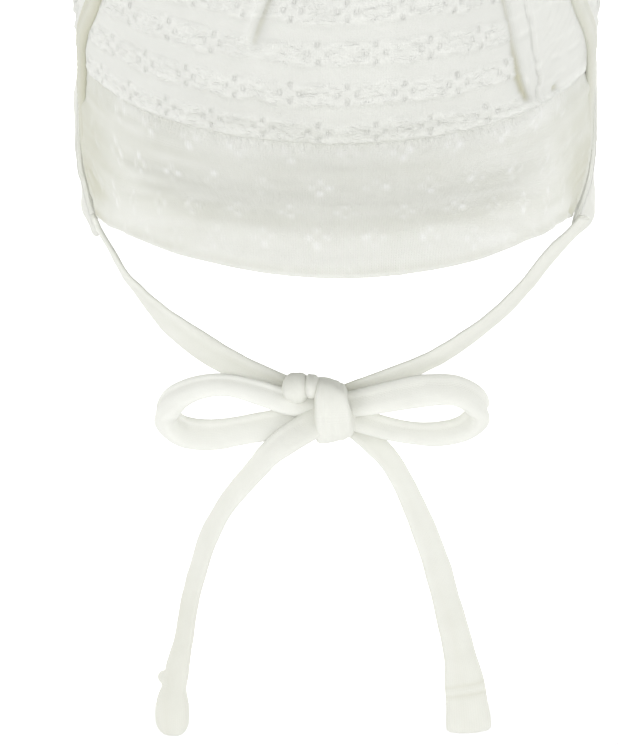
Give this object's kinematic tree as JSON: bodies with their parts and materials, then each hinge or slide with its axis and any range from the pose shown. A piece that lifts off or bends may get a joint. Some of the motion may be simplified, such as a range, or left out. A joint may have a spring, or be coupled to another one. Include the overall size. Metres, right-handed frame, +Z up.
{
  "type": "baby sun hat",
  "caption": "Soft pointelle jersey baby sun hat with domed crown, drooping front visor, short neck flap and flat chin ties knotted in a bow.",
  "frame": {"origin": "centre of the head opening, level with the seam between crown and visor, where the hat sits on a head", "axes": "+Z up through the crown, -Y towards the face side where the visor stands out, +X to the viewer's right seen from the front"},
  "size_m": [0.1372, 0.2001, 0.2874],
  "materials": {
    "pointelle_jersey": "matte knit with open pointelle diamonds",
    "doubled_jersey": "matte knit, two layers",
    "band_jersey": "matte rolled knit",
    "tie_jersey": "matte folded knit"
  },
  "bodies": {
    "root": {"crown": "pointelle_jersey", "visor": "doubled_jersey", "neck_flap": "doubled_jersey", "seam_band": "band_jersey", "tie_left": "tie_jersey", "tie_right": "tie_jersey", "bow_loop_left": "tie_jersey", "bow_loop_right": "tie_jersey", "bow_knot": "tie_jersey", "tie_tail_left": "tie_jersey", "tie_tail_right": "tie_jersey"}
  },
  "joints": []
}
